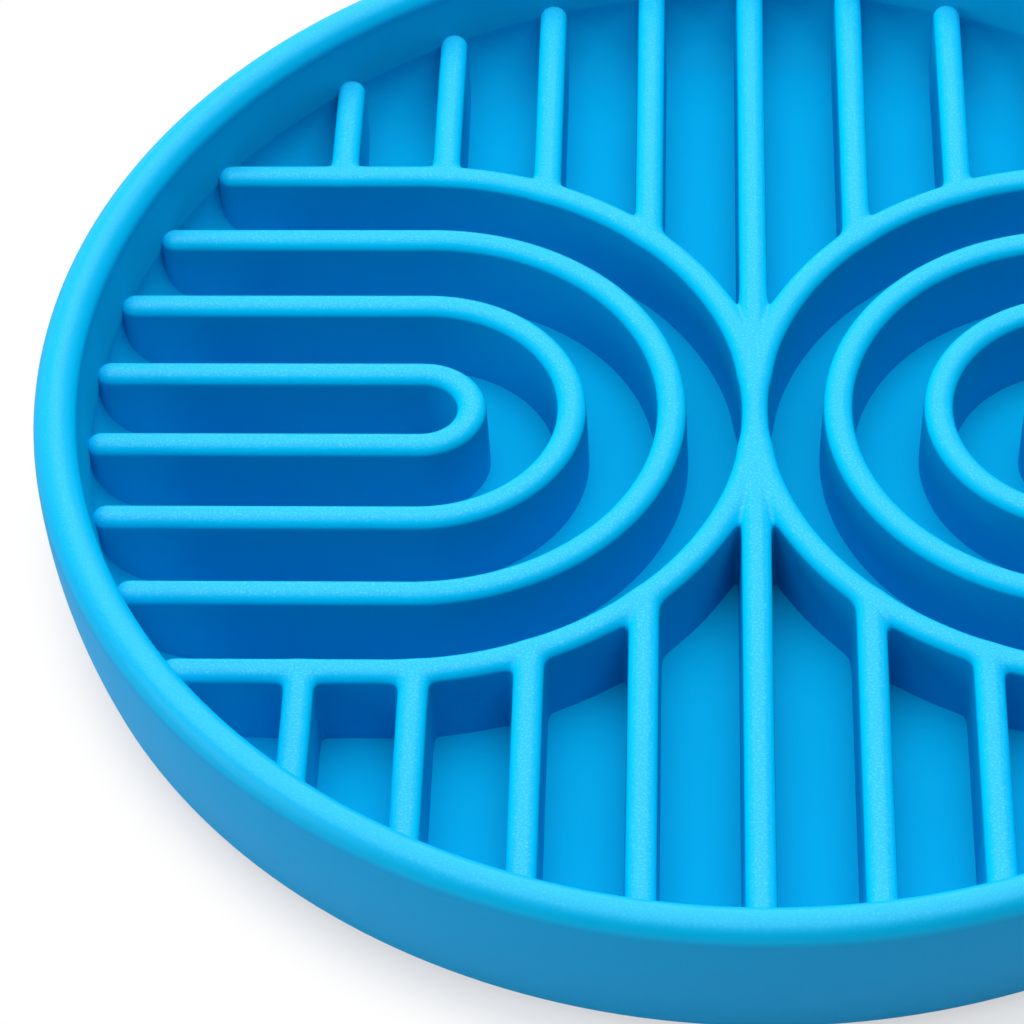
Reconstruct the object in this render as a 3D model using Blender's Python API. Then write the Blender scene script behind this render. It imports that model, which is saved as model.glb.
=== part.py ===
"""Slow feeder bowl: a shallow round bowl whose floor carries nested U ridges and straight ribs.

Metres, +Z up. The origin is on the ground, under the middle of the bowl. The near side faces -Y.
"""
import math

import bpy
import bmesh

# Bowl shell
OUTER_RADIUS = 0.1000
BOWL_HEIGHT = 0.0230
RIM_THICKNESS = 0.0060
# The outer wall is upright under the rim and bows in towards the base
OUTER_BOW_RADIUS = 0.0690
INNER_DRAFT = math.radians(6.5)
BASE_EDGE_RADIUS = 0.0026
FLOOR_THICKNESS = 0.0025
COVE_RADIUS = 0.0090
# Angle below level, on the cove's arc, where the wall ends and the corner piece begins
COVE_SPLIT = math.radians(30.0)

# Ridges: the width is taken just under the rounded top
RIDGE_HEIGHT = 0.0120
RIDGE_WIDTH = 0.0041
RIDGE_DRAFT = math.radians(1.5)
RIDGE_TOP_RADIUS = 0.0017

# Nested loops on the left and right, and straight ribs at the far and near sides
LOOPS_PER_SIDE = 4
LOOP_PITCH = 0.0140
LOOP_CENTRE = 0.0466
WAIST_LAP = 0.0002
RIBS_BESIDE_CENTRE = 4
LAST_RIB_LENGTH = 0.0195

# Non-slip feet, pressed into pockets under the floor; the margin is from a foot to the floor's edge
FOOT_COUNT = 6
FOOT_RADIUS = 0.0070
FOOT_MARGIN = 0.0067
FOOT_PROUD = 0.0008
FOOT_EDGE_RADIUS = 0.0004
POCKET_DEPTH = 0.0012

# Clearance between neighbouring solids
JOIN_GAP = 0.0003

# Facets
TURN_STEPS = 72
RIM_STEPS = 8
BOW_STEPS = 3
COVE_STEPS = 5
EDGE_STEPS = 3
TOP_STEPS = 2
NOSE_STEPS = 6
FOOT_STEPS = 20
ARC_STEP_LENGTH = 0.0055
FEWEST_ARC_STEPS = 12

SMOOTH_ANGLE = math.radians(40.0)

# Levels that follow from the sizes
BASE_Z = FOOT_PROUD
FLOOR_Z = BASE_Z + FLOOR_THICKNESS
RIDGE_Z = FLOOR_Z + RIDGE_HEIGHT
RIM_Z = BASE_Z + BOWL_HEIGHT
RIM_RADIUS = RIM_THICKNESS / 2
ABOVE_RIM = RIM_Z + RIM_THICKNESS

# Rim circle, and the circle of the bowed outer wall, which is level with it
RIM_CENTRE_R = OUTER_RADIUS - RIM_RADIUS
RIM_CENTRE_Z = RIM_Z - RIM_RADIUS
BOW_CENTRE_R = OUTER_RADIUS - OUTER_BOW_RADIUS


def arc(centre_r, centre_z, radius, start, end, steps):
    """Points (r, z) on a circular arc, both ends included."""
    points = []
    for i in range(steps + 1):
        angle = start + (end - start) * i / steps
        points.append((centre_r + radius * math.cos(angle), centre_z + radius * math.sin(angle)))
    return points


def inner_wall_r(z):
    """Radius of the drafted inner wall at height z."""
    touch_r = RIM_CENTRE_R - RIM_RADIUS * math.cos(INNER_DRAFT)
    touch_z = RIM_CENTRE_Z - RIM_RADIUS * math.sin(INNER_DRAFT)
    return touch_r - (touch_z - z) * math.tan(INNER_DRAFT)


# Cove circle: it touches the floor and the inner wall
COVE_CENTRE_Z = FLOOR_Z + COVE_RADIUS
COVE_CENTRE_R = inner_wall_r(COVE_CENTRE_Z) - COVE_RADIUS / math.cos(INNER_DRAFT)
SPLIT_R = COVE_CENTRE_R + COVE_RADIUS * math.cos(COVE_SPLIT)
PLATE_R = COVE_CENTRE_R - JOIN_GAP
FOOT_CIRCLE_RADIUS = PLATE_R - FOOT_MARGIN - FOOT_RADIUS

# Ridge ends: the rounded nose just clears the wall at the level of the ridge tops
NOSE_CENTRE_R = inner_wall_r(RIDGE_Z) - JOIN_GAP - RIDGE_WIDTH / 2
OUTER_LOOP_RADIUS = (LOOPS_PER_SIDE - 0.5) * LOOP_PITCH
OUTER_LOOP_CENTRE = OUTER_LOOP_RADIUS - WAIST_LAP

# Ribs are evenly spaced out to the last one, which reaches the wall at its set length
LAST_RIB_END = OUTER_LOOP_RADIUS + LAST_RIB_LENGTH
RIB_PITCH = math.sqrt(NOSE_CENTRE_R ** 2 - LAST_RIB_END ** 2) / RIBS_BESIDE_CENTRE


def clear_scene():
    """Remove every object that is in the scene."""
    for item in list(bpy.data.objects):
        bpy.data.objects.remove(item, do_unlink=True)


def make_material(name, colour, roughness):
    """A Principled BSDF of one colour and roughness."""
    material = bpy.data.materials.new(name)
    material.use_nodes = True
    shader = material.node_tree.nodes["Principled BSDF"]
    shader.inputs["Base Color"].default_value = (*colour, 1.0)
    shader.inputs["Roughness"].default_value = roughness
    shader.inputs["Metallic"].default_value = 0.0
    return material


def add_object(name, bm, material=None):
    """Turn a bmesh into an object. One without a material is a cutter."""
    bmesh.ops.recalc_face_normals(bm, faces=bm.faces)
    mesh = bpy.data.meshes.new(name)
    bm.to_mesh(mesh)
    bm.free()
    mesh.shade_smooth()
    mesh.set_sharp_from_angle(angle=SMOOTH_ANGLE)
    item = bpy.data.objects.new(name, mesh)
    bpy.context.collection.objects.link(item)
    if material is None:
        item.hide_render = True
        item.display_type = "WIRE"
    else:
        mesh.materials.append(material)
    return item


def cut(item, cutter, operation="DIFFERENCE"):
    """Boolean the cutter out of the item, or keep only what both hold."""
    modifier = item.modifiers.new(cutter.name, "BOOLEAN")
    modifier.operation = operation
    modifier.solver = "EXACT"
    modifier.object = cutter


def bridge(bm, lower, upper):
    """Quads between two closed rings of equal length."""
    count = len(lower)
    for i in range(count):
        j = (i + 1) % count
        bm.faces.new((lower[i], lower[j], upper[j], upper[i]))


def turned(bm, profile, steps, closed, centre=(0.0, 0.0)):
    """Turn (r, z) points about a vertical axis. An open profile is capped at both ends."""
    rings = []
    for r, z in profile:
        ring = []
        for i in range(steps):
            angle = 2 * math.pi * i / steps
            ring.append(bm.verts.new((centre[0] + r * math.cos(angle), centre[1] + r * math.sin(angle), z)))
        rings.append(ring)
    for lower, upper in zip(rings, rings[1:]):
        bridge(bm, lower, upper)
    if closed:
        bridge(bm, rings[-1], rings[0])
    else:
        bm.faces.new(rings[0])
        bm.faces.new(rings[-1])


def rim_wall(material):
    """Outer wall, rounded rim, inner wall and the upper part of the cove."""
    edge_z = BASE_Z + BASE_EDGE_RADIUS
    drop = RIM_CENTRE_Z - edge_z
    edge_r = BOW_CENTRE_R + math.sqrt((OUTER_BOW_RADIUS - BASE_EDGE_RADIUS) ** 2 - drop ** 2)
    touch = -math.atan2(drop, edge_r - BOW_CENTRE_R)
    profile = [(SPLIT_R, BASE_Z)]
    profile += arc(edge_r, edge_z, BASE_EDGE_RADIUS, -math.pi / 2, touch, EDGE_STEPS)
    profile += arc(BOW_CENTRE_R, RIM_CENTRE_Z, OUTER_BOW_RADIUS, touch, 0.0, BOW_STEPS)[1:]
    profile += arc(RIM_CENTRE_R, RIM_CENTRE_Z, RIM_RADIUS, 0.0, math.pi + INNER_DRAFT, RIM_STEPS)[1:]
    profile += arc(COVE_CENTRE_R, COVE_CENTRE_Z, COVE_RADIUS, INNER_DRAFT, -COVE_SPLIT, TOP_STEPS)
    bm = bmesh.new()
    turned(bm, profile, TURN_STEPS, closed=True)
    return add_object("rim_wall", bm, material)


def corner_cove(material):
    """Lower part of the cove, between the wall and the flat floor."""
    outer_r = SPLIT_R - JOIN_GAP
    start = -math.acos((outer_r - COVE_CENTRE_R) / COVE_RADIUS)
    profile = [(COVE_CENTRE_R, BASE_Z), (outer_r, BASE_Z)]
    profile += arc(COVE_CENTRE_R, COVE_CENTRE_Z, COVE_RADIUS, start, -math.pi / 2, COVE_STEPS)
    bm = bmesh.new()
    turned(bm, profile, TURN_STEPS, closed=True)
    return add_object("corner_cove", bm, material)


def foot_places():
    """Centres of the feet, evenly spaced round a circle."""
    places = []
    for i in range(FOOT_COUNT):
        angle = 2 * math.pi * (i + 0.5) / FOOT_COUNT
        places.append((FOOT_CIRCLE_RADIUS * math.cos(angle), FOOT_CIRCLE_RADIUS * math.sin(angle)))
    return places


def floor_plate(material):
    """Flat floor with a pocket under it for each foot."""
    bm = bmesh.new()
    turned(bm, [(PLATE_R, BASE_Z), (PLATE_R, FLOOR_Z)], TURN_STEPS, closed=False)
    plate = add_object("floor_plate", bm, material)
    pocket_r = FOOT_RADIUS + JOIN_GAP
    pocket_profile = [(pocket_r, BASE_Z - FOOT_PROUD), (pocket_r, BASE_Z + POCKET_DEPTH)]
    for number, place in enumerate(foot_places(), start=1):
        bm = bmesh.new()
        turned(bm, pocket_profile, FOOT_STEPS, closed=False, centre=place)
        cut(plate, add_object(f"pocket_cutter_{number}", bm))
    return plate


def rubber_feet(material):
    """Round pads that stand proud of the base, with a rounded lower edge."""
    profile = arc(FOOT_RADIUS - FOOT_EDGE_RADIUS, FOOT_EDGE_RADIUS, FOOT_EDGE_RADIUS,
                  -math.pi / 2, 0.0, TOP_STEPS)
    profile.append((FOOT_RADIUS, BASE_Z + POCKET_DEPTH - JOIN_GAP))
    for number, place in enumerate(foot_places(), start=1):
        bm = bmesh.new()
        turned(bm, profile, FOOT_STEPS, closed=False, centre=place)
        add_object(f"rubber_foot_{number}", bm, material)


def bowl_cavity():
    """The space inside the bowl, held clear of its floor, cove and wall, which bounds every ridge."""
    profile = [(COVE_CENTRE_R, FLOOR_Z + JOIN_GAP)]
    profile += arc(COVE_CENTRE_R, COVE_CENTRE_Z, COVE_RADIUS - JOIN_GAP,
                   -math.pi / 2, INNER_DRAFT, COVE_STEPS + TOP_STEPS)[1:]
    profile.append((inner_wall_r(ABOVE_RIM) - JOIN_GAP / math.cos(INNER_DRAFT), ABOVE_RIM))
    bm = bmesh.new()
    turned(bm, profile, TURN_STEPS, closed=False)
    return add_object("bowl_cavity", bm)


def ridge_levels():
    """Half width and height of a ridge, from below the floor up to the flat of its rounded top."""
    side_top = RIDGE_Z - RIDGE_TOP_RADIUS
    foot_half = RIDGE_WIDTH / 2 + (side_top - BASE_Z) * math.tan(RIDGE_DRAFT)
    levels = [(foot_half, BASE_Z)]
    levels += arc(RIDGE_WIDTH / 2 - RIDGE_TOP_RADIUS, side_top, RIDGE_TOP_RADIUS, 0.0, math.pi / 2, TOP_STEPS)
    return levels


def cutter_levels():
    """The ridge's sides, widened by the clearance and carried up past the ridge tops."""
    sides = ridge_levels()[:2] + [(RIDGE_WIDTH / 2, ABOVE_RIM)]
    return [(half + JOIN_GAP, z) for half, z in sides]


def ridge_mesh(bm, path, levels):
    """Loft a ridge along stations (point, outward normal), with a round nose at both ends."""
    def nose(station, away, half, z, first_side):
        """Points round one end, from the side that first_side names to the other."""
        (x, y), (nx, ny) = station
        ring = []
        for i in range(1, NOSE_STEPS):
            angle = math.pi * i / NOSE_STEPS
            side = first_side * half * math.cos(angle)
            reach = half * math.sin(angle)
            ring.append(bm.verts.new((x + nx * side + away[0] * reach, y + ny * side + away[1] * reach, z)))
        return ring

    def direction(start, end):
        dx, dy = end[0] - start[0], end[1] - start[1]
        length = math.hypot(dx, dy)
        return dx / length, dy / length

    away_last = direction(path[-2][0], path[-1][0])
    away_first = direction(path[1][0], path[0][0])
    outlines = []
    for half, z in levels:
        outer = [bm.verts.new((x + nx * half, y + ny * half, z)) for (x, y), (nx, ny) in path]
        last = nose(path[-1], away_last, half, z, 1)
        inner = [bm.verts.new((x - nx * half, y - ny * half, z)) for (x, y), (nx, ny) in path]
        first = nose(path[0], away_first, half, z, -1)
        outlines.append((outer, last, inner, first))
    rings = [outer + last + inner[::-1] + first for outer, last, inner, first in outlines]
    for lower, upper in zip(rings, rings[1:]):
        bridge(bm, lower, upper)
    for outer, last, inner, first in (outlines[0], outlines[-1]):
        for i in range(len(path) - 1):
            bm.faces.new((outer[i], outer[i + 1], inner[i + 1], inner[i]))
        bm.faces.new([outer[-1]] + last + [inner[-1]])
        bm.faces.new([inner[0]] + first + [outer[0]])


def loop_path(number, side):
    """Stations along U loop number 1 (outermost) to the last, on the left (-1) or right (1)."""
    radius = (LOOPS_PER_SIDE - number + 0.5) * LOOP_PITCH
    centre = OUTER_LOOP_CENTRE if number == 1 else LOOP_CENTRE
    end_x = math.sqrt(NOSE_CENTRE_R ** 2 - radius ** 2)
    steps = max(FEWEST_ARC_STEPS, round(math.pi * radius / ARC_STEP_LENGTH))
    path = [((side * end_x, radius), (0.0, 1.0))]
    for i in range(steps + 1):
        angle = math.pi / 2 - math.pi * i / steps
        across, along = math.cos(angle), math.sin(angle)
        path.append(((side * (centre - radius * across), radius * along), (-side * across, along)))
    path.append(((side * end_x, -radius), (0.0, -1.0)))
    return path


def waist_cutter(side):
    """A block past the middle plane, so that the two outer loops meet there."""
    reach = OUTER_LOOP_RADIUS
    bm = bmesh.new()
    bmesh.ops.create_cube(bm, size=2 * reach)
    bmesh.ops.translate(bm, verts=bm.verts, vec=(-side * (reach - JOIN_GAP / 2), 0.0, RIDGE_Z))
    return add_object("waist_cutter_" + ("left" if side < 0 else "right"), bm)


def loops(side, cavity, material):
    """The nested loops of one side. Returns the outer loop's widened copy, which trims the ribs."""
    word = "left" if side < 0 else "right"
    for number in range(1, LOOPS_PER_SIDE + 1):
        bm = bmesh.new()
        ridge_mesh(bm, loop_path(number, side), ridge_levels())
        loop = add_object(f"{word}_loop_{number}", bm, material)
        cut(loop, cavity, "INTERSECT")
        if number == 1:
            cut(loop, waist_cutter(side))
    bm = bmesh.new()
    ridge_mesh(bm, loop_path(1, side), cutter_levels())
    return add_object(f"{word}_loop_cutter", bm)


def rib_span(x):
    """Start and end, measured from the middle, of the rib at this x."""
    off_centre = OUTER_LOOP_CENTRE - abs(x)
    if off_centre > 0:
        start = math.sqrt(OUTER_LOOP_RADIUS ** 2 - off_centre ** 2)
    else:
        start = OUTER_LOOP_RADIUS
    return start, math.sqrt(NOSE_CENTRE_R ** 2 - x ** 2)


def ribs(cavity, loop_cutters, material):
    """Straight ribs from the outer loops to the wall, at the far and near sides."""
    for place, way in (("far", 1), ("near", -1)):
        for k in range(-RIBS_BESIDE_CENTRE, RIBS_BESIDE_CENTRE + 1):
            start, end = rib_span(k * RIB_PITCH)
            side = "centre" if k == 0 else ("left" if k < 0 else "right") + f"_{abs(k)}"
            path = [((k * RIB_PITCH, way * y), (1.0, 0.0)) for y in (start, end)]
            bm = bmesh.new()
            ridge_mesh(bm, path, ridge_levels())
            rib = add_object(f"{place}_rib_{side}", bm, material)
            cut(rib, cavity, "INTERSECT")
            if k <= 0:
                cut(rib, loop_cutters["left"])
            if k >= 0:
                cut(rib, loop_cutters["right"])


def build():
    """Model the whole bowl."""
    clear_scene()
    bowl_blue = make_material("bowl_blue", (0.004, 0.380, 0.780), 0.48)
    foot_grey = make_material("foot_grey", (0.090, 0.095, 0.100), 0.80)
    floor_plate(bowl_blue)
    corner_cove(bowl_blue)
    rim_wall(bowl_blue)
    rubber_feet(foot_grey)
    cavity = bowl_cavity()
    loop_cutters = {"left": loops(-1, cavity, bowl_blue), "right": loops(1, cavity, bowl_blue)}
    ribs(cavity, loop_cutters, bowl_blue)


build()
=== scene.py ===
"""Looks of a slow feeder bowl: one seamless blue moulding that stands on rubber feet, with its stage.

The file is laid out as a Blender add-on and is run as a script. Metres, +Z up, in the part's own frame.
"""
import math

import bmesh
import bpy
import numpy
from bpy.props import FloatProperty, FloatVectorProperty, IntProperty, PointerProperty
from mathutils import Matrix, Vector
from mathutils.geometry import delaunay_2d_cdt


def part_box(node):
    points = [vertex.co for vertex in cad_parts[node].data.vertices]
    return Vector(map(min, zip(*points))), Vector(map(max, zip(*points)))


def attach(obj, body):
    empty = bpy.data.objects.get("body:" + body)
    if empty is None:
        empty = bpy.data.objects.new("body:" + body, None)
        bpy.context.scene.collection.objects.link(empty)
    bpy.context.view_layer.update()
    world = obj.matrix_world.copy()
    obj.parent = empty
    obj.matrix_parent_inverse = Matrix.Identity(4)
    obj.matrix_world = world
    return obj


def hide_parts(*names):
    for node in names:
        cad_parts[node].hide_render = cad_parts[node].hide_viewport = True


bl_info = {
    "name": "Slow feeder bowl",
    "version": (1, 0, 0),
    "blender": (4, 5, 0),
    "location": "View3D > Sidebar > Feeder bowl",
    "description": "Builds the moulding and feet of a slow feeder bowl around its packed solids",
    "category": "Object",
}

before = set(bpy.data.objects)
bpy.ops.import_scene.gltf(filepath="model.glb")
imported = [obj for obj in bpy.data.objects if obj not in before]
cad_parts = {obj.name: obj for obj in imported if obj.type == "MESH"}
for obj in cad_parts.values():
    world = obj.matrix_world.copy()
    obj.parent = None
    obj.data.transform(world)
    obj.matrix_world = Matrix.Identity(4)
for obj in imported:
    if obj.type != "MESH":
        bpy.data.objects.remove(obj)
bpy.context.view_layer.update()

FOOT_NODES = sorted(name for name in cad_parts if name.startswith("rubber_foot_"))
MOULDING_NODES = sorted(set(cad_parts) - set(FOOT_NODES))
WALL_LOW, WALL_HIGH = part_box("rim_wall")
PLATE_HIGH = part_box("floor_plate")[1]
RIB_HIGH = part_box("far_rib_centre")[1]
FOOT_LOW, FOOT_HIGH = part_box(FOOT_NODES[0])

MILLIMETRES = 1000.0
CREASE_ANGLE = math.radians(32.0)
WHITE = (1.0, 1.0, 1.0, 1.0)
SENSOR_WIDTH = 36.0

# Facets along the profiles of the bowl and of a foot
BASE_EDGE_STEPS = 8
BOW_STEPS = 8
RIM_STEPS = 26
COVE_STEPS = 22
GROOVE_STEPS = 8
FOOT_EDGE_STEPS = 5

# The cove's radius over this gives the width of the rings that keep the shading of the end faces flat
FLAT_MARGIN = 12

# Tracing of the ridges' contours, in metres and radians
LONGEST_STEP = 0.0014
SHORTEST_STEP = 0.00003
SHARPEST_TURN = math.radians(11.0)
STEP_GROWTH = 1.5
CLOSING_SLACK = 1.6
CONTOUR_LIMIT = 6000
SETTLE_ROUNDS = 8
ON_CONTOUR = 1e-7
TINY = 1e-9

# Where the field's slope is under this, two ridges blend
BLENDED_SLOPE = 0.95

# Triangulation inside the contours, with the distance in millimetres at which points merge
FILL_INSIDE = 1
MERGE_DISTANCE = 1e-6

# Upward parts of the normal between which a ridge's side loses its painted shade, and its rounded edge gains
# painted light and its top a painted highlight
FLANK_FADE = (0.10, 0.40)
SHOULDER_FADE = (0.14, 0.45)
CREST_FADE = (0.64, 1.00)

# Distances in front of the wall's foot, in metres, between which the painted shade on the ridges' sides fades
# out
FLANK_REACH = (0.016, 0.006)

# Noise values between which the grain turns pale; on the ridge tops and rim, this pale grain carries painted
# glints
PALE_GRAIN_AND_GLINT_FADE = (0.50, 0.72)

# Radius of the floor's middle face and facets round the floor
FLOOR_MIDDLE = 0.2
FLOOR_TURNS = 96

# Socket numbers of a Mix node that mixes colours
MIX_FACTOR, MIX_FIRST, MIX_SECOND, MIX_RESULT = 0, 6, 7, 2


def length(name, default, description):
    """A size in metres that a user can change."""
    return FloatProperty(name=name, description=description, default=default, unit="LENGTH", precision=5)


def angle(name, degrees, description):
    """An angle that a user can change."""
    return FloatProperty(name=name, description=description, default=math.radians(degrees), subtype="ANGLE")


def share(name, default, description):
    """A plain number, such as a roughness."""
    return FloatProperty(name=name, description=description, default=default)


def count(name, default, description):
    """A whole number of like pieces or steps."""
    return IntProperty(name=name, description=description, default=default)


def colour(name, default, description):
    """A linear colour."""
    return FloatVectorProperty(name=name, description=description, default=default, size=3, subtype="COLOR")


def spot(name, default, description):
    """A place in metres."""
    return FloatVectorProperty(name=name, description=description, default=default, subtype="XYZ",
                               size=len(default))


class ShellSizes(bpy.types.PropertyGroup):
    """Sizes of the bowl's floor, wall and rim."""
    outer_radius: length("Outer radius", WALL_HIGH.x, "Widest radius of the bowl")
    base_z: length("Base height", WALL_LOW.z, "Height of the underside above the ground")
    floor_z: length("Floor height", PLATE_HIGH.z, "Height of the inside floor above the ground")
    rim_z: length("Rim height", WALL_HIGH.z, "Height of the rim above the ground")
    rim_thickness: length("Rim thickness", 0.0060, "Thickness of the rounded rim")
    bow_radius: length("Outer bow radius", 0.0690, "Radius of the outer wall's bow, upright at the rim")
    base_edge_radius: length("Base edge radius", 0.0026, "Radius of the edge between wall and underside")
    inner_draft: angle("Inner draft", 6.5, "Lean of the inner wall")
    cove_radius: length("Cove radius", 0.0090, "Radius of the corner between floor and inner wall")
    turns: count("Turn steps", 240, "Facets round the bowl")


class RidgeSizes(bpy.types.PropertyGroup):
    """Sizes of the ridges that stand on the floor."""
    top_z: length("Top height", RIB_HIGH.z, "Height of the ridge tops above the ground")
    width: length("Width", 0.0041, "Width just under the rounded top")
    draft: angle("Draft", 1.5, "Lean of the ridge sides")
    top_radius: length("Top radius", 0.0017, "Radius of the rounded top edges")
    loops: count("Loops per side", 4, "Nested loops on the left and on the right")
    loop_pitch: length("Loop pitch", 0.0140, "Step in radius from one loop to the next")
    loop_centre: length("Loop centre", 0.0466, "Distance of the inner loops' bends from the middle")
    waist_lap: length("Waist lap", 0.0002, "How far each outer loop's bend reaches past the middle plane")
    ribs: count("Ribs beside the centre", 4, "Straight ribs on each side of the centre rib")
    last_rib: length("Last rib length", 0.0195, "Length of the last rib, which sets the pitch")
    blend: length("Blend", 0.00045, "Softness of the corners where ridges join")
    top_steps: count("Top steps", 8, "Facets round a ridge's top edge")


class FootSizes(bpy.types.PropertyGroup):
    """Sizes of the rubber feet."""
    radius: length("Radius", (FOOT_HIGH.x - FOOT_LOW.x) / 2, "Radius of a foot")
    top_z: length("Top height", FOOT_HIGH.z, "Height of a foot's hidden upper face")
    edge_radius: length("Edge radius", 0.0004, "Radius of the lower edge")
    clearance: length("Clearance", 0.0003, "Gap between a foot and its pocket")
    groove_radius: length("Groove radius", 0.0042, "Middle radius of the ring groove")
    groove_width: length("Groove width", 0.0012, "Width of the ring groove")
    groove_depth: length("Groove depth", 0.0004, "Depth of the ring groove")
    turns: count("Turn steps", 64, "Facets round a foot")


class FinishSettings(bpy.types.PropertyGroup):
    """Colours and grain of the surfaces, and the painted light and shade of the moulding."""
    blue: colour("Bowl blue", (0.001, 0.440, 0.785), "Colour of the moulding")
    # Pale grain and specks everywhere, and the painted glints on the ridge tops and rim.
    pale: colour("Speck blue", (0.130, 0.740, 1.000), "Colour of the bright specks in the grain")
    # Painted shade: a darker blue on the outer wall and outer rim.
    wall: colour("Wall blue", (0.001, 0.350, 0.725), "Colour of the outer wall")
    # Painted shade: a darker blue on the ridges' upright sides.
    flank_painted_shade: colour("Flank blue", (0.000, 0.350, 0.690), "Colour of the ridges' upright sides")
    # Painted light: a brighter blue on the rounded edges of ridges and rim.
    shoulder_painted_light: colour("Shoulder blue", (0.000, 0.600, 1.000), "Colour of the rounded edges of ridges and rim")
    # Painted highlight: a paler blue on the ridge tops and rim.
    crown_painted_highlight: colour("Crown blue", (0.006, 0.510, 0.900), "Paler colour of the ridge tops and the rim")
    grain: length("Grain size", 0.00030, "Size of the moulded grain")
    grain_depth: length("Grain depth", 0.000012, "Depth of the moulded grain")
    roughness: share("Roughness", 0.46, "Mean roughness of the moulding")
    roughness_spread: share("Roughness spread", 0.16, "How far the roughness varies with the grain")
    specular: share("Specular", 0.0, "Specular level of the moulding under its sheen")
    cloud: length("Cloud size", 0.035, "Size of the faint clouds in the blue")
    cloud_shade: share("Cloud shade", 0.96, "Brightness of the clouds' darkest parts")
    speck_pitch: share("Speck pitch", 2.2, "Distance between specks, in grains")
    speck_size: share("Speck size", 0.30, "Radius of a speck, as a share of its cell")
    speck_gaps: share("Speck gaps", 0.78, "Share of the cells that have no speck")
    gleam: share("Gleam", 0.015, "Share of bright grain and specks on floor and walls")
    # Painted glints: extra pale grain on the ridge tops and rim.
    crest_painted_glints: share("Crest gleam", 0.50, "Added share of bright grain on the ridge tops")
    # Painted glints: extra pale specks on the ridge tops and rim.
    crest_painted_specks: share("Crest specks", 0.15, "Added share of specks on the ridge tops")
    # How much of the painted highlight and painted light the outer rim loses.
    rim_painted_light_cut: share("Rim dulling", 0.55, "How much less the rim gleams than the ridge tops")
    coat: share("Coat", 0.01, "Sheen of floor and inner wall")
    crest_coat: share("Crest coat", 0.34, "Added sheen of the ridge tops")
    outer_coat: share("Outer coat", 0.22, "Added sheen of the outer wall")
    coat_roughness: share("Coat roughness", 0.33, "Roughness of the sheen")
    rubber: colour("Foot grey", (0.090, 0.095, 0.100), "Colour of the feet")
    rubber_wear: share("Foot wear", 1.5, "Brightness of the worn patches on the feet")
    rubber_cloud: length("Foot patch size", 0.006, "Size of the worn patches on the feet")
    rubber_grain: length("Foot grain size", 0.00040, "Size of the rubber's grain")
    rubber_depth: length("Foot grain depth", 0.00002, "Depth of the rubber's grain")
    rubber_roughness: share("Foot roughness", 0.72, "Least roughness of the rubber")
    rubber_spread: share("Foot roughness spread", 0.2, "How far the rubber's roughness varies with the grain")
    rubber_specular: share("Foot specular", 0.35, "Specular level of the rubber")


class StageSettings(bpy.types.PropertyGroup):
    """Floor, light and camera."""
    floor: colour("Floor", (0.900, 0.900, 0.900), "Colour of the floor")
    floor_white: share("Floor whiteness", 0.60, "How far the floor's shadow is lifted to white")
    shadow_start: length("Shadow start", 0.099, "Radius at which the floor's shadow begins to fade to white")
    shadow_end: length("Shadow end", 0.109, "Radius at which the floor's shadow is gone")
    shadow_shift: length("Shadow shift", 0.004, "How far the shadow lies to the right of the bowl's middle")
    floor_gap: length("Floor gap", 0.00005, "Space under the feet, so that faces don't coincide")
    floor_radius: length("Floor radius", 3.0, "Radius of the floor")
    backdrop_height: length("Backdrop height", 0.8, "Height of the wall round the floor")
    key_power: share("Key power", 14.0, "Power of the overhead light in watts")
    key_size: length("Key size", 1.5, "Width of the overhead light")
    key_height: length("Key height", 0.9, "Height of the overhead light")
    key_back: length("Key set back", 0.18, "How far behind the bowl the overhead light hangs")
    fill_power: share("Fill power", 4.8, "Power of the low light on the left in watts")
    fill_size: length("Fill size", 0.8, "Width of the low light on the left")
    fill_place: spot("Fill place", (-1.2, -0.3, 0.5), "Where the low light on the left stands")
    glow_power: share("Back glow power", 4.0, "Power of the low light behind the bowl in watts")
    glow_size: length("Back glow size", 0.9, "Width of the low light behind the bowl")
    glow_place: spot("Back glow place", (0.0, 1.4, 0.55), "Where the low light behind the bowl stands")
    ambient: share("Ambient", 0.08, "Strength of the surrounding light")
    elevation: angle("Elevation", 46.25, "Camera's height above the horizon, as an angle")
    azimuth: angle("Azimuth", 3.52, "Camera's turn round the bowl")
    roll: angle("Roll", -2.36, "Camera's roll")
    distance: length("Distance", 0.57744, "Camera's distance from its target")
    target: spot("Target", (-0.03412, -0.00705), "Point in plan that the camera looks at")
    lens: share("Lens", 143.72, "Focal length in millimetres on a 36 mm sensor")


class Wire:
    """A shader output that takes part in Python expressions."""

    def __init__(self, tree, socket):
        self.tree = tree
        self.socket = socket

    def maths(self, operation, first, second):
        """A Math node on two numbers or wires."""
        node = self.tree.nodes.new("ShaderNodeMath")
        node.operation = operation
        for place, value in enumerate((first, second)):
            if isinstance(value, Wire):
                self.tree.links.new(value.socket, node.inputs[place])
            else:
                node.inputs[place].default_value = value
        return Wire(self.tree, node.outputs[0])

    def __add__(self, other):
        return self.maths("ADD", self, other)

    def __radd__(self, other):
        return self.maths("ADD", other, self)

    def __sub__(self, other):
        return self.maths("SUBTRACT", self, other)

    def __rsub__(self, other):
        return self.maths("SUBTRACT", other, self)

    def __mul__(self, other):
        return self.maths("MULTIPLY", self, other)

    def __rmul__(self, other):
        return self.maths("MULTIPLY", other, self)

    def __gt__(self, other):
        return self.maths("GREATER_THAN", self, other)

    def __lt__(self, other):
        return self.maths("LESS_THAN", self, other)


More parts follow.
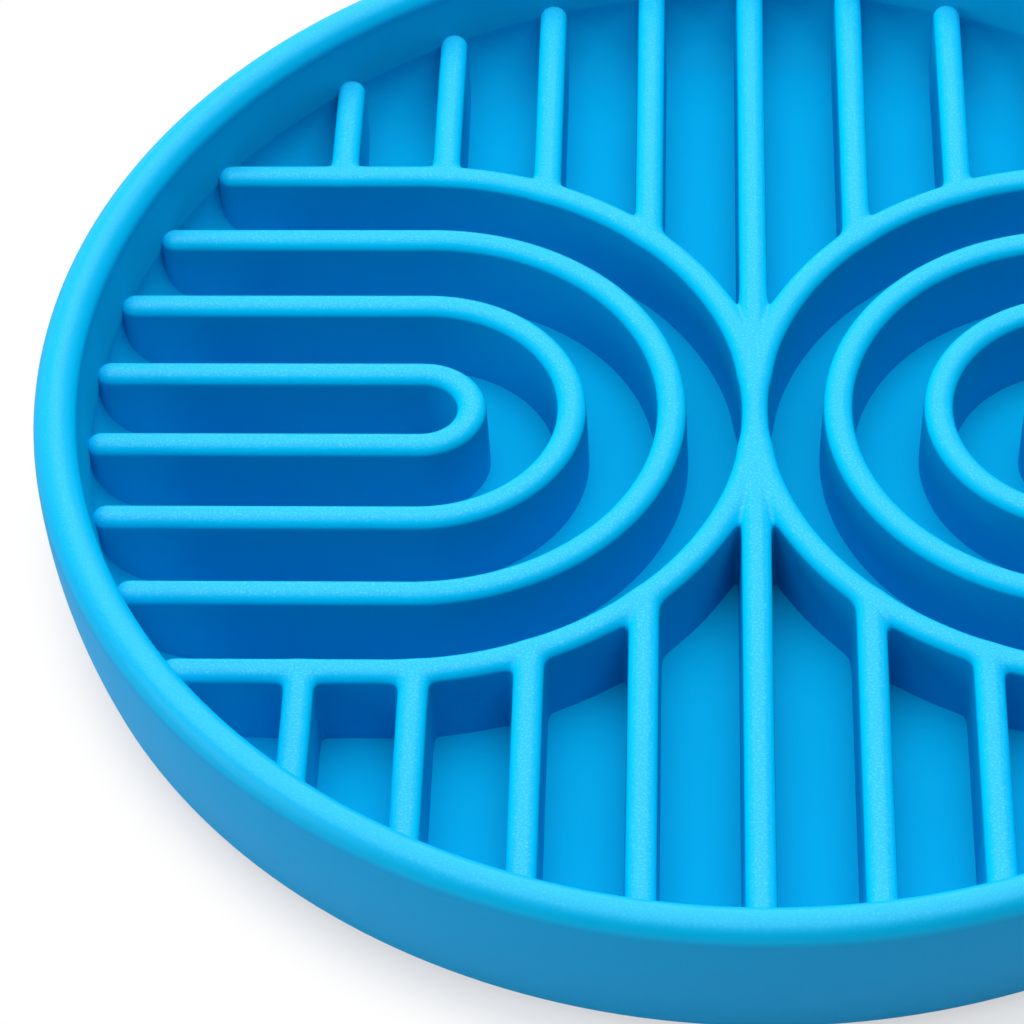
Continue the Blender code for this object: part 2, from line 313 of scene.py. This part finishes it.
class Finish:
    """Builds one material, or the world, out of nodes."""

    def __init__(self, owner):
        owner.use_nodes = True
        self.tree = owner.node_tree
        self.tree.nodes.clear()

    def node(self, kind, settings, inputs, output=0):
        """Add a node, set it up, feed its sockets and return one of its outputs."""
        node = self.tree.nodes.new(kind)
        for name, value in settings.items():
            setattr(node, name, value)
        for name, value in inputs.items():
            if isinstance(value, Wire):
                self.tree.links.new(value.socket, node.inputs[name])
            else:
                node.inputs[name].default_value = value
        return Wire(self.tree, node.outputs[output]) if len(node.outputs) else None

    def mix(self, factor, first, second):
        """Mix two colours."""
        settings = {"data_type": "RGBA"}
        inputs = {MIX_FACTOR: factor, MIX_FIRST: first, MIX_SECOND: second}
        return self.node("ShaderNodeMix", settings, inputs, output=MIX_RESULT)


def opaque(rgb):
    """A colour with full alpha."""
    return (*rgb, 1.0)


def grown_noise(finish, place, size, detail):
    """Noise whose lumps have about the given size."""
    inputs = {"Vector": place, "Scale": 1.0 / size, "Detail": detail}
    return finish.node("ShaderNodeTexNoise", {}, inputs)


def grain_bump(finish, grain, depth):
    """Normal of a surface whose grain has the given depth."""
    inputs = {"Height": grain, "Strength": 1.0, "Distance": depth}
    return finish.node("ShaderNodeBump", {}, inputs)


def distance_off(finish, place):
    """Distance of a place from the origin."""
    return finish.node("ShaderNodeVectorMath", {"operation": "LENGTH"}, {0: place}, output="Value")


def upward_part(finish, vector):
    """Z of a vector."""
    return finish.node("ShaderNodeSeparateXYZ", {}, {"Vector": vector}, output="Z")


def ramp(finish, value, start, end):
    """A smooth step from 0 to 1."""
    settings = {"interpolation_type": "SMOOTHSTEP"}
    return finish.node("ShaderNodeMapRange", settings, {"Value": value, "From Min": start, "From Max": end})


def moulded_blue(looks, shell, ridges):
    """Matte blue plastic with a fine blasted grain, and painted light and shade in its colour: a painted
    highlight with painted glints on the ridge tops and rim, painted light on their rounded edges, and painted
    shade on the ridges' sides and the outer wall.
    """
    material = bpy.data.materials.new("moulded_blue")
    finish = Finish(material)
    place = finish.node("ShaderNodeTexCoord", {}, {}, output="Object")
    grain = grown_noise(finish, place, looks.grain, detail=3.0)
    cloud = grown_noise(finish, place, looks.cloud, detail=2.0)
    cells = {"Vector": place, "Scale": 1.0 / (looks.speck_pitch * looks.grain)}
    middle = finish.node("ShaderNodeTexVoronoi", {}, cells, output="Distance")
    chance = finish.node("ShaderNodeTexVoronoi", {}, cells, output="Color")
    chance = finish.node("ShaderNodeSeparateColor", {}, {"Color": chance}, output="Red")
    speck = (middle < looks.speck_size) * (chance > looks.speck_gaps)
    upward = upward_part(finish, finish.node("ShaderNodeTexCoord", {}, {}, output="Normal"))
    height = upward_part(finish, place)
    above = ramp(finish, height, shell.floor_z + shell.cove_radius, ridges.top_z - ridges.top_radius / 2)
    off = distance_off(finish, place)
    wall = shell.outer_radius - shell.rim_thickness
    # Outer rim and outer wall, which get painted shade and an added coat.
    outside = ramp(finish, off, wall, shell.outer_radius)
    # Cuts the painted light and painted highlight, and the coat, towards the outer side of the rim.
    outer_rim_light_cut = 1.0 - looks.rim_painted_light_cut * outside
    # Painted light: a brighter blue on the rounded edges of ridges and rim.
    shoulder_painted_light = above * ramp(finish, upward, *SHOULDER_FADE) * outer_rim_light_cut
    # Painted highlight: a paler blue on the ridge tops and rim.
    crest_painted_highlight = above * ramp(finish, upward, *CREST_FADE)
    # Mask of the painted glints on the tops and rim, and of the added coat there.
    sheen = crest_painted_highlight * outer_rim_light_cut
    # Painted shade on the ridges' upright sides, kept off the inner wall.
    inward = 1.0 - ramp(finish, off, *(wall - reach for reach in FLANK_REACH))
    flank_painted_shade = inward * (1.0 - ramp(finish, upward, *FLANK_FADE))
    deep = opaque(looks.cloud_shade * value for value in looks.blue)
    body = finish.mix(cloud, deep, opaque(looks.blue))
    # Painted shade on the outer wall, then on the ridges' upright sides.
    with_outer_wall_shade = finish.mix(outside, body, opaque(looks.wall))
    with_flank_shade = finish.mix(flank_painted_shade, with_outer_wall_shade, opaque(looks.flank_painted_shade))
    # Painted light on the rounded edges, then a painted highlight on the tops.
    edge = finish.mix(shoulder_painted_light, with_flank_shade, opaque(looks.shoulder_painted_light))
    crown_painted_highlight = finish.mix(crest_painted_highlight, edge, opaque(looks.crown_painted_highlight))
    # Pale grain, which the tops' mask turns into painted glints on the ridge tops and rim.
    pale_grain_and_glints = ramp(finish, grain, *PALE_GRAIN_AND_GLINT_FADE)
    grain_and_painted_glints = (looks.gleam + looks.crest_painted_glints * sheen) * pale_grain_and_glints
    # Pale specks and grain, with painted glints on the ridge tops and rim.
    bright = grain_and_painted_glints + (looks.gleam + looks.crest_painted_specks * sheen) * speck
    skin = finish.mix(bright, crown_painted_highlight, opaque(looks.pale))
    normal = grain_bump(finish, grain, looks.grain_depth)
    surface = finish.node("ShaderNodeBsdfPrincipled", {}, {
        "Base Color": skin,
        "Roughness": looks.roughness + looks.roughness_spread * (grain - 0.5),
        "Specular IOR Level": looks.specular,
        "Coat Weight": looks.coat + looks.crest_coat * sheen + looks.outer_coat * outside,
        "Coat Roughness": looks.coat_roughness,
        "Normal": normal,
    })
    finish.node("ShaderNodeOutputMaterial", {}, {"Surface": surface})
    return material


def foot_rubber(looks):
    """Dull grey rubber with a soft mottle."""
    material = bpy.data.materials.new("foot_rubber")
    finish = Finish(material)
    place = finish.node("ShaderNodeTexCoord", {}, {}, output="Object")
    grain = grown_noise(finish, place, looks.rubber_grain, detail=4.0)
    cloud = grown_noise(finish, place, looks.rubber_cloud, detail=2.0)
    worn = opaque(looks.rubber_wear * value for value in looks.rubber)
    normal = grain_bump(finish, grain, looks.rubber_depth)
    surface = finish.node("ShaderNodeBsdfPrincipled", {}, {
        "Base Color": finish.mix(cloud, opaque(looks.rubber), worn),
        "Roughness": looks.rubber_roughness + looks.rubber_spread * grain,
        "Specular IOR Level": looks.rubber_specular,
        "Normal": normal,
    })
    finish.node("ShaderNodeOutputMaterial", {}, {"Surface": surface})
    return material


def arc(centre_r, centre_z, radius, start, end, steps):
    """Points (r, z) on a circular arc, both ends included."""
    points = []
    for i in range(steps + 1):
        turn = start + (end - start) * i / steps
        points.append((centre_r + radius * math.cos(turn), centre_z + radius * math.sin(turn)))
    return points


def bridge(bm, lower, upper):
    """Quads between two closed rings of equal length."""
    steps = len(lower)
    for i in range(steps):
        j = (i + 1) % steps
        bm.faces.new((lower[i], lower[j], upper[j], upper[i]))


def add_rings(bm, profile, steps, centre=(0.0, 0.0)):
    """A level ring of vertices for every (r, z) point of a profile."""
    rings = []
    for r, z in profile:
        ring = []
        for i in range(steps):
            turn = 2 * math.pi * i / steps
            ring.append(bm.verts.new((centre[0] + r * math.cos(turn), centre[1] + r * math.sin(turn), z)))
        rings.append(ring)
    return rings


def turned(bm, profile, steps, centre=(0.0, 0.0)):
    """Turn (r, z) points about a vertical axis and close both ends with flat faces."""
    rings = add_rings(bm, profile, steps, centre)
    for lower, upper in zip(rings, rings[1:]):
        bridge(bm, lower, upper)
    bm.faces.new(rings[0])
    bm.faces.new(rings[-1])


def add_object(name, bm):
    """Turn a closed bmesh into an object whose faces point out."""
    bmesh.ops.recalc_face_normals(bm, faces=bm.faces)
    mesh = bpy.data.meshes.new(name)
    bm.to_mesh(mesh)
    bm.free()
    item = bpy.data.objects.new(name, mesh)
    bpy.context.scene.collection.objects.link(item)
    return item


def boolean(item, operand, operation):
    """Join the operand to the item, or cut it out."""
    modifier = item.modifiers.new(operand.name, "BOOLEAN")
    modifier.operation = operation
    modifier.solver = "EXACT"
    modifier.object = operand


def settle(item, helpers=()):
    """Bake an object's modifiers into its mesh and remove the objects that they used."""
    graph = bpy.context.evaluated_depsgraph_get()
    mesh = bpy.data.meshes.new_from_object(item.evaluated_get(graph))
    item.modifiers.clear()
    spare = item.data
    item.data = mesh
    bpy.data.meshes.remove(spare)
    for helper in helpers:
        bpy.data.objects.remove(helper, do_unlink=True)


def finish_piece(item, material, nodes):
    """Shade a piece, give it its material and tie it to the solids that it stands for."""
    item.data.materials.clear()
    item.data.materials.append(material)
    item.data.shade_smooth()
    item.data.set_sharp_from_angle(angle=CREASE_ANGLE)
    weights = item.modifiers.new("Even shading", "WEIGHTED_NORMAL")
    weights.keep_sharp = True
    settle(item)
    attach(item, "root")
    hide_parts(*nodes)


def inner_wall_r(shell, z):
    """Radius of the inner wall at height z."""
    rim = shell.rim_thickness / 2
    touch_r = shell.outer_radius - rim - rim * math.cos(shell.inner_draft)
    touch_z = shell.rim_z - rim - rim * math.sin(shell.inner_draft)
    return touch_r - (touch_z - z) * math.tan(shell.inner_draft)


def shell_profile(shell):
    """Outline (r, z) of the bowl from its underside, round the rim, to the inside floor."""
    rim = shell.rim_thickness / 2
    rim_r, rim_z = shell.outer_radius - rim, shell.rim_z - rim
    bow_r = shell.outer_radius - shell.bow_radius
    edge_z = shell.base_z + shell.base_edge_radius
    drop = rim_z - edge_z
    edge_r = bow_r + math.sqrt((shell.bow_radius - shell.base_edge_radius) ** 2 - drop ** 2)
    touch = -math.atan2(drop, edge_r - bow_r)
    cove_z = shell.floor_z + shell.cove_radius
    cove_r = inner_wall_r(shell, cove_z) - shell.cove_radius / math.cos(shell.inner_draft)
    draft = shell.inner_draft
    margin = shell.cove_radius / FLAT_MARGIN
    profile = [(edge_r - margin, shell.base_z)]
    profile += arc(edge_r, edge_z, shell.base_edge_radius, -math.pi / 2, touch, BASE_EDGE_STEPS)
    profile += arc(bow_r, rim_z, shell.bow_radius, touch, 0.0, BOW_STEPS)[1:]
    profile += arc(rim_r, rim_z, rim, 0.0, math.pi + draft, RIM_STEPS)[1:]
    profile += arc(cove_r, cove_z, shell.cove_radius, draft, -math.pi / 2, COVE_STEPS)
    profile.append((cove_r - margin, shell.floor_z))
    return profile


class RidgeField:
    """Distance in plan from the centre lines of ridges that join, softened where they meet."""

    def __init__(self, blend, loops, ribs=()):
        """Loops are (bend centre, radius, leg end) and ribs are pairs of end points."""
        self.blend = blend
        self.loops = loops
        self.starts = numpy.array([start for start, _ in ribs]).reshape(-1, 2)
        self.spans = numpy.array([end for _, end in ribs]).reshape(-1, 2) - self.starts
        self.squares = (self.spans ** 2).sum(axis=1)

    def loop_offset(self, point, loop):
        """Vector to the point from the nearest point of a loop: its half circle or one of its two legs."""
        centre, radius, leg_end = loop
        side = math.copysign(1.0, centre)
        if (point[0] - centre) * side > 0:
            foot = side * min(point[0] * side, leg_end * side)
            return point - (foot, math.copysign(radius, point[1]))
        out = point - (centre, 0.0)
        return out * (1.0 - radius / max(math.hypot(*out), TINY))

    def __call__(self, point):
        """Distance and its gradient at a point; loops beyond the middle plane don't count."""
        offsets = point - self.starts
        along = numpy.clip((offsets * self.spans).sum(axis=1) / self.squares, 0.0, 1.0)
        offsets = offsets - along[:, None] * self.spans
        near = [self.loop_offset(point, loop) for loop in self.loops if point[0] * loop[0] >= 0]
        offsets = numpy.concatenate((offsets, near))
        distances = numpy.hypot(offsets[:, 0], offsets[:, 1])
        least = distances.min()
        weights = numpy.exp((least - distances) / self.blend)
        total = weights.sum()
        ways = offsets / numpy.maximum(distances, TINY)[:, None]
        return least - self.blend * math.log(total), weights @ ways / total


def settle_on(field, point, level):
    """Slide a point along the gradient onto a contour of the field."""
    for _ in range(SETTLE_ROUNDS):
        distance, slope = field(point)
        point = point - slope * (distance - level) / (slope @ slope)
        if abs(distance - level) < ON_CONTOUR:
            break
    return point


def turn_between(first, second):
    """Angle between two directions in plan."""
    return abs(math.atan2(first[0] * second[1] - first[1] * second[0], float(first @ second)))


def trace(field, seed, level):
    """Points round the closed contour through the seed, closer together where it turns."""
    seed = settle_on(field, numpy.array(seed), level)
    seed_slope = field(seed)[1]
    points = [seed]
    step = LONGEST_STEP
    while len(points) < CONTOUR_LIMIT:
        point = points[-1]
        slope = field(point)[1]
        heading = numpy.array((-slope[1], slope[0])) / math.hypot(*slope)
        while True:
            ahead = settle_on(field, point + step * heading, level)
            turn = turn_between(slope, field(ahead)[1])
            if turn <= SHARPEST_TURN or step <= SHORTEST_STEP:
                break
            step /= 2
        near = math.hypot(*(seed - point)) < CLOSING_SLACK * step
        if len(points) > 3 and near and turn_between(slope, seed_slope) < CLOSING_SLACK * SHARPEST_TURN:
            return points
        points.append(ahead)
        if turn < SHARPEST_TURN / 3:
            step = min(STEP_GROWTH * step, LONGEST_STEP)
    raise RuntimeError("a ridge contour did not close")


def ridge_levels(shell, ridges):
    """Half width and height of a ridge, from inside the floor's thickness up to its flat top."""
    side_top = ridges.top_z - ridges.top_radius
    sunk = (shell.base_z + shell.floor_z) / 2
    foot_half = ridges.width / 2 + (side_top - sunk) * math.tan(ridges.draft)
    flat_half = ridges.width / 2 - ridges.top_radius
    levels = [(foot_half, sunk)]
    levels += arc(flat_half, side_top, ridges.top_radius, 0.0, math.pi / 2, ridges.top_steps)
    return levels


def web_points(field, levels, reach, pitch):
    """Points and heights on the soft webs between loops and centre ribs, where contours lie far apart."""
    (foot, sunk), (edge, low), (flat, high) = levels[0], levels[1], levels[-1]
    webs = []
    for x in numpy.arange(-reach / 4, reach / 4, pitch):
        for y in numpy.arange(-reach, reach, pitch):
            distance, slope = field(numpy.array((x, y)))
            blended = math.hypot(*slope) < BLENDED_SLOPE
            if blended and flat < distance < edge:
                rise = math.sqrt(1.0 - ((distance - flat) / (edge - flat)) ** 2)
                webs.append((Vector((x, y)), low + (high - low) * rise))
            elif blended and edge <= distance < foot:
                webs.append((Vector((x, y)), low + (sunk - low) * (distance - edge) / (foot - edge)))
    return webs


def ridge_body(bm, field, tip, out, levels, webs=()):
    """A closed ridge body whose contours at every level are traced from the tip of one nose."""
    points, edges, heights = [], [], []
    for half, z in levels:
        ring = trace(field, (tip[0] + out[0] * half, tip[1] + out[1] * half), half)
        first = len(points)
        points += [Vector(point) * MILLIMETRES for point in ring]
        edges += [(first + i, first + (i + 1) % len(ring)) for i in range(len(ring))]
        heights += [z] * len(ring)
    foot_count = heights.count(levels[0][1])
    points += [place * MILLIMETRES for place, _ in webs]
    heights += [z for _, z in webs]
    flat, _, faces, sources, _, _ = delaunay_2d_cdt(points, edges, [], FILL_INSIDE, MERGE_DISTANCE)
    if len(flat) != len(points):
        raise RuntimeError(f"ridge contours cross or touch: {len(points)} points became {len(flat)}")
    verts = [None] * len(points)
    for place, source in zip(flat, sources):
        verts[source[0]] = bm.verts.new((place.x / MILLIMETRES, place.y / MILLIMETRES, heights[source[0]]))
    for face in faces:
        bm.faces.new([verts[sources[corner][0]] for corner in face])
    bm.faces.new(verts[foot_count - 1::-1])


def ridge_bodies(shell, ridges):
    """Every ridge as a closed body: the joined outer loops and ribs, and each inner loop alone."""
    nose_r = inner_wall_r(shell, ridges.top_z) - ridges.width / 2
    flat_half = ridges.width / 2 - ridges.top_radius
    outer = (ridges.loops - 0.5) * ridges.loop_pitch
    outer_centre = outer - ridges.waist_lap
    levels = ridge_levels(shell, ridges)
    bm = bmesh.new()

    leg_end = math.sqrt(nose_r ** 2 - outer ** 2)
    loops = [(side * outer_centre, outer, side * leg_end) for side in (-1, 1)]
    pitch = math.sqrt(nose_r ** 2 - (outer + ridges.last_rib) ** 2) / ridges.ribs
    ribs = []
    for number in range(-ridges.ribs, ridges.ribs + 1):
        x = number * pitch
        if number == 0:
            start = math.sqrt(outer ** 2 - (outer_centre - flat_half) ** 2)
        else:
            bend_off = max(outer_centre - abs(x), 0.0)
            start = math.sqrt(outer ** 2 - bend_off ** 2) + 2 * flat_half
        end = math.sqrt(nose_r ** 2 - x ** 2)
        ribs += [((x, way * start), (x, way * end)) for way in (-1, 1)]
    field = RidgeField(ridges.blend, loops, ribs)
    webs = web_points(field, levels, 2 * ridges.loop_pitch, ridges.blend / 2)
    ridge_body(bm, field, (0.0, nose_r), (0.0, 1.0), levels, webs)

    for side in (-1, 1):
        for number in range(1, ridges.loops):
            radius = (ridges.loops - number - 0.5) * ridges.loop_pitch
            leg_end = side * math.sqrt(nose_r ** 2 - radius ** 2)
            field = RidgeField(ridges.blend, [(side * ridges.loop_centre, radius, leg_end)])
            ridge_body(bm, field, (leg_end, radius), (side, 0.0), levels)
    return add_object("ridges", bm)


def foot_centres():
    """Where each foot stands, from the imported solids."""
    return [(low + high) / 2 for low, high in map(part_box, FOOT_NODES)]


def add_floor(stage):
    """A round pale floor whose far part and low wall show white."""
    bm = bmesh.new()
    ground = -stage.floor_gap
    edge = stage.floor_radius
    profile = ((FLOOR_MIDDLE, ground), (edge, ground), (edge, stage.backdrop_height))
    rings = add_rings(bm, profile, FLOOR_TURNS)
    bm.faces.new(rings[0])
    for lower, upper in zip(rings, rings[1:]):
        bridge(bm, upper, lower)
    mesh = bpy.data.meshes.new("floor")
    bm.to_mesh(mesh)
    bm.free()
    floor = bpy.data.objects.new("floor", mesh)
    bpy.context.scene.collection.objects.link(floor)
    mesh.materials.append(pale_floor(stage))


def pale_floor(stage):
    """Plain matte floor near the bowl, and white as seen further off."""
    material = bpy.data.materials.new("pale_floor")
    finish = Finish(material)
    place = finish.node("ShaderNodeTexCoord", {}, {}, output="Object")
    shift = (-stage.shadow_shift, 0.0, 0.0)
    place = finish.node("ShaderNodeVectorMath", {"operation": "ADD"}, {0: place, 1: shift}, output="Vector")
    off = distance_off(finish, place)
    far = ramp(finish, off, stage.shadow_start, stage.shadow_end)
    seen = finish.node("ShaderNodeLightPath", {}, {}, output="Is Camera Ray")
    mirrored = finish.node("ShaderNodeLightPath", {}, {}, output="Is Glossy Ray")
    through = finish.node("ShaderNodeLightPath", {}, {}, output="Is Transmission Ray")
    matte = finish.node("ShaderNodeBsdfDiffuse", {}, {"Color": opaque(stage.floor)})
    white = finish.node("ShaderNodeEmission", {}, {"Color": WHITE, "Strength": 1.0})
    factor = (stage.floor_white + (1.0 - stage.floor_white) * far) * (seen + mirrored + through)
    surface = finish.node("ShaderNodeMixShader", {}, {0: factor, 1: matte, 2: white})
    finish.node("ShaderNodeOutputMaterial", {}, {"Surface": surface})
    return material


def add_lamp(scene, name, place, size, power):
    """A round soft light that faces the bowl and stays out of the picture."""
    lamp = bpy.data.lights.new(name, "AREA")
    lamp.shape = "DISK"
    lamp.size = size
    lamp.energy = power
    light = bpy.data.objects.new(name, lamp)
    light.location = place
    light.visible_camera = False
    light.rotation_mode = "QUATERNION"
    light.rotation_quaternion = (-place).to_track_quat("-Z", "Y")
    scene.collection.objects.link(light)


def add_lights(scene, stage):
    """One wide soft light overhead, low ones on the left and behind, and a little light all round."""
    overhead = Vector((0.0, stage.key_back, stage.key_height))
    add_lamp(scene, "overhead", overhead, stage.key_size, stage.key_power)
    add_lamp(scene, "left_fill", Vector(stage.fill_place), stage.fill_size, stage.fill_power)
    add_lamp(scene, "back_glow", Vector(stage.glow_place), stage.glow_size, stage.glow_power)
    world = bpy.data.worlds.new("studio")
    scene.world = world
    finish = Finish(world)
    glow = finish.node("ShaderNodeBackground", {}, {"Color": WHITE, "Strength": stage.ambient})
    finish.node("ShaderNodeOutputWorld", {}, {"Surface": glow})


def add_camera(scene, stage):
    """The camera of the photograph."""
    rise, swing = stage.elevation, stage.azimuth
    back = Vector((math.sin(swing) * math.cos(rise), -math.cos(swing) * math.cos(rise), math.sin(rise)))
    right = (-back).cross(Vector((0.0, 0.0, 1.0))).normalized()
    up = right.cross(-back)
    across = right * math.cos(stage.roll) + up * math.sin(stage.roll)
    upward = up * math.cos(stage.roll) - right * math.sin(stage.roll)
    camera = bpy.data.objects.new("camera", bpy.data.cameras.new("camera"))
    camera.data.lens = stage.lens
    camera.data.sensor_width = SENSOR_WIDTH
    target = Vector((*stage.target, scene.feeder_shell.base_z))
    facing = Matrix((across, upward, back)).transposed().to_4x4()
    camera.matrix_world = Matrix.Translation(target + back * stage.distance) @ facing
    scene.collection.objects.link(camera)
    scene.camera = camera


class FEEDER_OT_moulding(bpy.types.Operator):
    """Build the blue moulding: floor, wall, rim and every ridge in one skin"""
    bl_idname = "feeder.moulding"
    bl_label = "Moulding"

    def execute(self, context):
        scene = context.scene
        shell, ridges, feet = scene.feeder_shell, scene.feeder_ridges, scene.feeder_feet
        bm = bmesh.new()
        turned(bm, shell_profile(shell), shell.turns)
        bowl = add_object("bowl_moulding", bm)
        raised = ridge_bodies(shell, ridges)
        bm = bmesh.new()
        pocket = feet.radius + feet.clearance
        for centre in foot_centres():
            pocket_profile = [(pocket, 0.0), (pocket, feet.top_z + feet.clearance)]
            turned(bm, pocket_profile, feet.turns, (centre.x, centre.y))
        pockets = add_object("pockets", bm)
        boolean(bowl, raised, "UNION")
        boolean(bowl, pockets, "DIFFERENCE")
        settle(bowl, (raised, pockets))
        blue = moulded_blue(scene.feeder_finish, shell, ridges)
        finish_piece(bowl, blue, MOULDING_NODES)
        return {"FINISHED"}


class FEEDER_OT_feet(bpy.types.Operator):
    """Build the rubber feet in their pockets, each with a ring groove under it"""
    bl_idname = "feeder.feet"
    bl_label = "Feet"

    def execute(self, context):
        feet = context.scene.feeder_feet
        rubber = foot_rubber(context.scene.feeder_finish)
        half = feet.groove_width / 2
        profile = arc(feet.groove_radius, 0.0, half, math.pi, 0.0, GROOVE_STEPS)
        profile = [(r, z * feet.groove_depth / half) for r, z in profile]
        edge = feet.edge_radius
        profile += arc(feet.radius - edge, edge, edge, -math.pi / 2, 0.0, FOOT_EDGE_STEPS)
        profile.append((feet.radius, feet.top_z))
        for number, (node, centre) in enumerate(zip(FOOT_NODES, foot_centres()), start=1):
            bm = bmesh.new()
            turned(bm, profile, feet.turns, (centre.x, centre.y))
            finish_piece(add_object(f"foot_pad_{number}", bm), rubber, [node])
        return {"FINISHED"}


class FEEDER_OT_stage(bpy.types.Operator):
    """Set up the pale floor, the soft light and the camera"""
    bl_idname = "feeder.stage"
    bl_label = "Stage"

    def execute(self, context):
        stage = context.scene.feeder_stage
        add_floor(stage)
        add_lights(context.scene, stage)
        add_camera(context.scene, stage)
        context.scene.view_settings.view_transform = "Standard"
        return {"FINISHED"}


class FEEDER_PT_panel(bpy.types.Panel):
    """Sidebar panel with the bowl's sizes and the pieces to build"""
    bl_idname = "FEEDER_PT_panel"
    bl_label = "Slow feeder bowl"
    bl_space_type = "VIEW_3D"
    bl_region_type = "UI"
    bl_category = "Feeder bowl"

    def draw(self, context):
        for operator in OPERATORS:
            self.layout.operator(operator.bl_idname)
        for name, group in GROUPS.items():
            box = self.layout.box()
            for field in group.__annotations__:
                box.prop(getattr(context.scene, name), field)


OPERATORS = (FEEDER_OT_moulding, FEEDER_OT_feet, FEEDER_OT_stage)
GROUPS = {
    "feeder_shell": ShellSizes,
    "feeder_ridges": RidgeSizes,
    "feeder_feet": FootSizes,
    "feeder_finish": FinishSettings,
    "feeder_stage": StageSettings,
}


def register():
    for group in GROUPS.values():
        bpy.utils.register_class(group)
    for name, group in GROUPS.items():
        setattr(bpy.types.Scene, name, PointerProperty(type=group))
    for item in (*OPERATORS, FEEDER_PT_panel):
        bpy.utils.register_class(item)


def unregister():
    for item in (FEEDER_PT_panel, *reversed(OPERATORS)):
        bpy.utils.unregister_class(item)
    for name in GROUPS:
        delattr(bpy.types.Scene, name)
    for group in reversed(GROUPS.values()):
        bpy.utils.unregister_class(group)


def main():
    """Build every piece and the stage."""
    register()
    bpy.ops.feeder.moulding()
    bpy.ops.feeder.feet()
    bpy.ops.feeder.stage()


if __name__ == "__main__":
    main()
